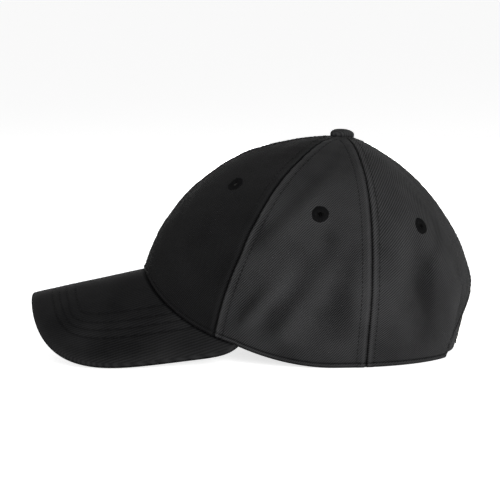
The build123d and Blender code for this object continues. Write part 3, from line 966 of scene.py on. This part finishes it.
# ---------------- eyelets and button
def eyelet(kind, word, side):
    """Hole bound with radial thread, with the back of the stitching and a sleeve inside."""
    h0, t0 = side * EYELETS[kind][0], EYELETS[kind][1]
    deep = 1.9 if kind == "front" else 1.1
    spokes = 30
    angles = np.arange(spokes * 6) * 2 * np.pi / (spokes * 6)
    wobble = 0.10 * np.sin(3 * angles + side) + 0.08 * np.sin(7 * angles)
    ridge = 0.5 + 0.5 * np.cos(spokes * angles)
    # Radius, height over the cloth and strength of the thread ridges, from the inside out.
    outline = [
        (4.3, -deep - 0.12, 0.2), (3.2, -deep - 0.42, 1.0), (2.2, -deep - 0.30, 0.7),
        (1.62, -deep + 0.2, 0.2), (1.5, -0.1, 0.3), (1.62, 0.30, 0.6), (2.1, 0.62, 1.0), (3.0, 0.80, 1.0),
        (3.9, 0.70, 1.0), (4.7, 0.42, 1.0), (5.15, 0.12, 0.8), (5.25, -0.25, 0.3),
    ]
    turn = crown(h0 + 0.5, t0) - crown(h0 - 0.5, t0)
    drop = (crown(h0, t0 + 0.005) - crown(h0, t0 - 0.005)) / 0.01
    first = unit(turn)
    second = np.cross(crown_normal(h0, t0), first)
    solve = np.linalg.inv(np.array([[turn @ first, drop @ first], [turn @ second, drop @ second]]))
    rings, shades = [], []
    for r, rise, rib in outline:
        radius = r + wobble * smooth(1.8, 5.0, r) + 0.10 * rib * (ridge - 0.5) * smooth(3.5, 5.0, r)
        u, v = radius * np.cos(angles), radius * np.sin(angles)
        lift = rise + (0.20 * rib * (ridge - 0.6)) * (1 if rise > -0.5 else -1)
        shift = solve @ np.stack([u, v])
        rings.append(cloth_point(h0 + shift[0], t0 + shift[1], lift))
        # Painted highlight on the thread ridges and painted shade between them, darker overall.
        shades.append(1.5 * rib * (ridge - 0.66))
    verts = np.concatenate(rings)
    faces = grid_faces(len(rings), len(angles), 0, wrap=True)
    last = (len(rings) - 1) * len(angles)
    for j in range(len(angles)):
        k = (j + 1) % len(angles)
        faces.append((last + j, last + k, k, j))
    wear_and_painted_light = np.concatenate(shades)
    piece = make_mesh(f"{kind}_eyelet_{word}_thread", verts, faces, attributes={"wear_and_painted_light": wear_and_painted_light})
    return settle(piece, THREAD_SATIN, "cap", "eyelet_thread", f"{kind}_eyelet_{word}")


def button_cover():
    """Cloth drawn over the button, gathered in small pleats under its rim."""
    pleats = 15
    angles = np.arange(180) * 2 * np.pi / 180
    # Radius and height of the cover's outer face from the middle out, then of its inner face back.
    outline = [(0.0, 4.3), (1.2, 4.27), (2.4, 4.18), (3.5, 4.02), (4.5, 3.78), (5.4, 3.46), (6.2, 3.02),
               (6.8, 2.52), (7.2, 1.95), (7.42, 1.35), (7.5, 0.7), (7.48, 0.1), (7.3, -0.4), (6.9, -0.75),
               (6.2, -0.85), (5.2, -0.6)]
    inner = [(5.3, 0.0), (6.6, 0.2), (7.15, 0.8), (7.0, 1.8), (6.2, 2.6), (4.5, 3.4), (2.4, 3.8),
             (0.0, 3.9)]
    rings = []
    for r, z in outline + inner:
        under = smooth(5.6, 7.0, r) if (r, z) in outline else 0.0
        fold = np.abs(np.sin(pleats / 2 * angles + 0.6 * np.sin(3 * angles)))
        radius = r + 0.16 * under * (fold - 0.6) + 0.05 * smooth(2, 6, r) * np.sin(2 * angles + 1)
        height = z + 0.06 * under * fold + 0.05 * np.sin(3 * angles) * smooth(1, 5, r) * (r < 6.5)
        rings.append(np.stack([radius * np.cos(angles), radius * np.sin(angles), height], -1))
    local = np.concatenate(rings)
    tilt = -math.radians(BUTTON_TILT)
    y = local[:, 1] * math.cos(tilt) - local[:, 2] * math.sin(tilt)
    z = local[:, 1] * math.sin(tilt) + local[:, 2] * math.cos(tilt)
    verts = np.stack([local[:, 0], y + AXIS_Y + BUTTON_SHIFT, z + APEX_Z], -1)
    faces = grid_faces(len(rings), len(angles), 0, flip=True, wrap=True)
    uv = weave_uv(local[:, 0], local[:, 1], 55.0)
    reach = np.hypot(local[:, 0], local[:, 1])
    # The top rim is lighter; the cover below the rim gets painted shade.
    wear_and_painted_light = 0.4 * bump(reach - 6.6, 0.8) * (local[:, 2] > 1.5) - 0.8 * smooth(1.2, -0.4, local[:, 2])
    piece = make_mesh("button_cover_cloth", verts, faces, uv, {"wear_and_painted_light": wear_and_painted_light})
    work = bmesh.new()
    work.from_mesh(piece.data)
    bmesh.ops.remove_doubles(work, verts=work.verts, dist=1e-6)
    bmesh.ops.recalc_face_normals(work, faces=work.faces)
    work.to_mesh(piece.data)
    work.free()
    return settle(piece, TWILL, "cap", "button_twill", "button_cover")


# ---------------- visor
def visor_outline(angle, inset):
    s, c = np.sin(np.radians(angle)), np.cos(np.radians(angle))
    length = np.where(c > 0, VISOR_LENGTH, VISOR_TAIL)
    half = VISOR_HALF - 0.6 * inset
    ratio = (np.abs(s) / half) ** VISOR_POWER + (np.abs(c) / (length - inset)) ** VISOR_POWER
    reach = ratio ** (-1 / VISOR_POWER)
    return reach * s, VISOR_CENTRE + reach * c


def visor_root(heading, depth):
    """Ridge coordinates of a visor layer's edge inside the crown."""
    def above(t):
        return visor_place(crown_at(heading, t, VISOR_ROOT_DEPTH))[2] + depth
    here = crown_at(heading, bisect(above, 0.3, 1.0), VISOR_ROOT_DEPTH)
    x, w, _ = visor_place(here)
    for _ in range(3):
        x, w, _ = visor_place(here + visor(x, w) - visor_at(x, w, depth))
    return x, w


def rim_distance(x, w):
    """Distance of places on the visor from its free edge."""
    angle = np.linspace(-VISOR_CORNER, VISOR_CORNER, 700)
    ex, ew = visor_outline(angle, 0.0)
    flat_x, flat_w = x.ravel(), w.ravel()
    out = np.empty(flat_x.shape)
    for i in range(0, flat_x.size, 4000):
        dx = flat_x[i:i + 4000, None] - ex
        dw = flat_w[i:i + 4000, None] - ew
        out[i:i + 4000] = np.sqrt(dx * dx + dw * dw).min(axis=1)
    return out.reshape(x.shape)


def quilting(rim, around):
    """Dimpled rows of stitching, with the cover slightly proud between them."""
    total = np.zeros(rim.shape)
    for k, row in enumerate(VISOR_ROWS):
        pull = np.sin(around * 2 * np.pi / 6.2 + 1.7 * k)
        total -= (0.30 + 0.07 * pull) * bump(rim - row, 0.75)
    return total + 0.18 * smooth(0, 6, rim)


def visor_face(depth, inset, columns, rows):
    a = np.linspace(-1, 1, columns)
    a = a + 0.06 / np.pi * np.sin(2 * np.pi * a)
    x0, w0 = visor_root(a * VISOR_ROOT_HEADING, depth)
    x1, w1 = visor_outline(a * VISOR_CORNER, inset)
    s = packed(rows, 0.5)[:, None]
    return x0 + (x1 - x0) * s, w0 + (w1 - w0) * s, a


def rim_roll(a, radius, arc):
    """Rows of points that turn one face of the cover over the board's rim."""
    rows = []
    for angle in arc:
        x, w = visor_outline(a * VISOR_CORNER, RIM_RADIUS - radius * math.sin(angle))
        rows.append(visor_at(x, w, RIM_RADIUS - radius * math.cos(angle)))
    return np.stack(rows)


def visor_cover():
    """Top cover, stitched in rows and rolled round the board's rim."""
    columns, rows = 180, 96
    arc = np.linspace(0, math.radians(128), 16)[1:]
    x, w, a = visor_face(COVER_THICKNESS, RIM_RADIUS, columns, rows)
    back = visor_at(x, w, COVER_THICKNESS)
    inner = np.concatenate([back, rim_roll(a, RIM_RADIUS - COVER_THICKNESS, arc)])
    x, w, a = visor_face(0.0, RIM_RADIUS, columns, rows)
    rim = rim_distance(x, w)
    base = visor(x, w)
    lift = quilting(rim, lengths(base, 1)) + 0.10 * ripple(base, 34.0, 31)
    top = visor_at(x, w, -lift * smooth(0.0, 3.0, np.minimum(rim, 3.0)))
    outer = np.concatenate([top, rim_roll(a, RIM_RADIUS, arc)])
    turned = (len(arc), columns)
    across = np.concatenate([x, np.broadcast_to(x[-1], turned)])
    ahead = np.concatenate([w, w[-1] + RIM_RADIUS * arc[:, None]])
    # Painted shade on the cover near its root at the crown and in the stitch grooves; the ripple is an
    # uneven tone and the band near the rim is lighter.
    joint = 1.3 * (1 - smooth(3.4, 6.2, lengths(top, 0)))
    groove_shade = sum(0.34 * bump(rim - row, 0.5) for row in VISOR_ROWS)
    face_wear_and_shade = 0.13 * ripple(top, 34.0, 8) - joint - groove_shade + 0.25 * bump(rim - 1.5, 2.5)
    # The rolled rim is lighter near its top and gets painted shade as it turns under.
    rim_wear_and_shade = 0.35 * np.exp(-(arc - 0.5) ** 2) - 0.5 * smooth(0.6, 1.5, arc)
    wear_and_painted_light = np.concatenate([face_wear_and_shade, np.broadcast_to(rim_wear_and_shade[:, None], turned)])
    uv = weave_uv(across, ahead, VISOR_SLANT)
    piece = shell("visor_top_cloth", outer, inner, uv, {"wear_and_painted_light": wear_and_painted_light}, flip=True)
    settle(piece, VISOR_TWILL, "cap", "visor_twill", "visor_top_cover")
    return {"face": top, "up": rim, "side": 1}


def visor_under():
    """Cover under the board, sewn with the same rows."""
    x, w, _ = visor_face(UNDER_COVER[0], 0.9, 150, 70)
    rim = rim_distance(x, w)
    base = visor(x, w)
    edge = smooth(0.8, 2.2, rim)
    lift = (quilting(rim, lengths(base, 1)) + 0.05 * ripple(base, 30.0, 33)) * edge
    low = visor_at(x, w, UNDER_COVER[1] - 0.35 * (1 - edge) + lift)
    high = visor_at(x, w, UNDER_COVER[0])
    wear_and_painted_light = 0.1 * ripple(low, 30.0, 9) + 0.3 * bump(rim, 1.6)
    piece = shell("visor_under_cloth", low, high, weave_uv(x, w, VISOR_SLANT), {"wear_and_painted_light": wear_and_painted_light})
    settle(piece, VISOR_TWILL, "cap", "visor_twill", "visor_under_cover")
    return {"face": low, "up": rim, "side": -1}


# ---------------- the cap, piece by piece
def seam_tape(kind, seam, side, lift, depths, ending=""):
    """Tape behind one seam, sewn along both edges."""
    node = f"{kind}_seam_tape{ending}"
    grid = strip(f"{node}_cloth", tape_heading(seam, side), TAPE_TOP_T, lift, depths, tape_wave,
                 TAPE, "seam_tape", node)
    rows = [line_across(grid, TAPE_STITCH, "across"), line_across(grid, TAPE_STITCH, "from_second")]
    stitches(f"{kind}_tape_stitches{ending}", rows)


for word, side in SIDES:
    for kind in PANELS:
        grid = crown_panel(kind, word, side)
        first, second = SEAM_STITCH[kind]
        rows = [line_across(grid, first, "across"), line_across(grid, second, "from_second"),
                line_up(grid, HEM_STITCH)]
        stitches(f"{kind}_topstitch_{word}", rows, length=1.9, gap=0.9, radius=0.27)
        eyelet(kind, word, side)
    across_panel = panel_heading(FRONT_SEAM, SIDE_SEAM, side, 0.15, np.linspace(0, 1, 40))
    strip(f"front_stiffener_{word}_mesh", across_panel, STIFFENER_TOP_T, INNER_LIFT, STIFFENER, flat_wave,
          MESH_CLOTH, "buckram", f"front_stiffener_{word}", rows=60)
    seam_tape("side_front", SIDE_SEAM, side, INNER_LIFT, FRONT_TAPE, f"_{word}")
    seam_tape("side_rear", REAR_SEAM, side, INNER_LIFT, REAR_TAPE, f"_{word}")
seam_tape("front", FRONT_SEAM, 1, INNER_LIFT, FRONT_TAPE)
seam_tape("rear", BACK_SEAM, 1, ARCH_HEIGHT + FACING_WIDTH + 0.6, REAR_TAPE)

band = sweatband()
band_rows = [line_up(band, SWEATBAND_STITCH[0]), line_up(band, SWEATBAND_HEIGHT - SWEATBAND_STITCH[1])]
stitches("sweatband_stitches", band_rows, length=3.0, radius=0.18)
padding()
stitches("care_label_stitches", [line_up(care_label(), LABEL_STITCH)], length=1.8, radius=0.14)
stitches("arch_stitches", [arch_facing()])
strap()
loop()
button_cover()
top = visor_cover()
stitches("visor_stitches", [line_up(top, row) for row in VISOR_ROWS], length=2.0, gap=0.9, radius=0.25)
under = visor_under()
stitches("visor_under_stitches", [line_up(under, row) for row in VISOR_ROWS], length=2.5, gap=0.65,
         radius=0.19)
for node in ("buckle_frame", "buckle_lever", "buckle_pin"):
    dress(node, BUCKLE_METAL)
for node in ("button_shell", "button_rivet", "button_washer"):
    dress(node, BUTTON_METAL)
dress("visor_board", BOARD)


# ---------------- stage, light and camera
LIGHT_TARGET = (0.0, 0.0, 0.06)
VIEW_WIDTH = 0.315


def stage():
    """Pale floor that glows a little, like a light table."""
    mesh = bpy.data.meshes.new("floor")
    size = 60.0
    corners = [(-size, -size, 0), (size, -size, 0), (size, size, 0), (-size, size, 0)]
    mesh.from_pydata(corners, [], [(0, 1, 2, 3)])
    floor = bpy.data.objects.new("floor", mesh)
    bpy.context.scene.collection.objects.link(floor)
    material, _, shader, _ = new_material("pale_floor", 0.9, 0.1)
    shader.inputs["Base Color"].default_value = (0.80, 0.80, 0.80, 1.0)
    shader.inputs["Emission Color"].default_value = (1.0, 1.0, 1.0, 1.0)
    shader.inputs["Emission Strength"].default_value = 0.72
    floor.data.materials.append(material)
    floor.location.z = -0.0002


def area_light(name, place, size, power):
    """Round soft light aimed at the cap."""
    data = bpy.data.lights.new(name, "AREA")
    data.shape = "DISK"
    data.size = size
    data.energy = power
    light = bpy.data.objects.new(name, data)
    light.location = place
    light.rotation_euler = (Vector(LIGHT_TARGET) - Vector(place)).to_track_quat("-Z", "Y").to_euler()
    bpy.context.scene.collection.objects.link(light)


def camera():
    """Camera level with the cap, seen from the wearer's left, turned slightly about its own axis."""
    elevation, roll, distance = math.radians(5.6), math.radians(0.8), 1.8
    aim = Vector((0.0, 0.0, 0.0654))
    back = Vector((math.cos(elevation), 0.0, math.sin(elevation)))
    right = Vector((0.0, 1.0, 0.0))
    up = back.cross(right)
    turned_right = right * math.cos(roll) - up * math.sin(roll)
    turned_up = right * math.sin(roll) + up * math.cos(roll)
    data = bpy.data.cameras.new("camera")
    data.sensor_width = 36.0
    data.lens = 36.0 * distance / VIEW_WIDTH
    data.clip_end = 50.0
    view = bpy.data.objects.new("camera", data)
    turn = Matrix((turned_right, turned_up, back)).transposed().to_4x4()
    view.matrix_world = Matrix.Translation(aim + back * distance) @ turn
    bpy.context.scene.collection.objects.link(view)
    bpy.context.scene.camera = view


def surroundings():
    world = bpy.data.worlds.new("studio")
    world.use_nodes = True
    shader = world.node_tree.nodes["Background"]
    shader.inputs["Color"].default_value = (1.0, 1.0, 1.0, 1.0)
    shader.inputs["Strength"].default_value = 0.28
    bpy.context.scene.world = world
    bpy.context.scene.view_settings.view_transform = "Standard"


stage()
surroundings()
area_light("key", (2.05, 0.55, 0.38), 0.8, 98.0)
area_light("back", (-2.1, -0.3, 0.3), 1.2, 28.0)
area_light("front", (-1.2, -1.8, 0.5), 1.2, 16.0)
camera()
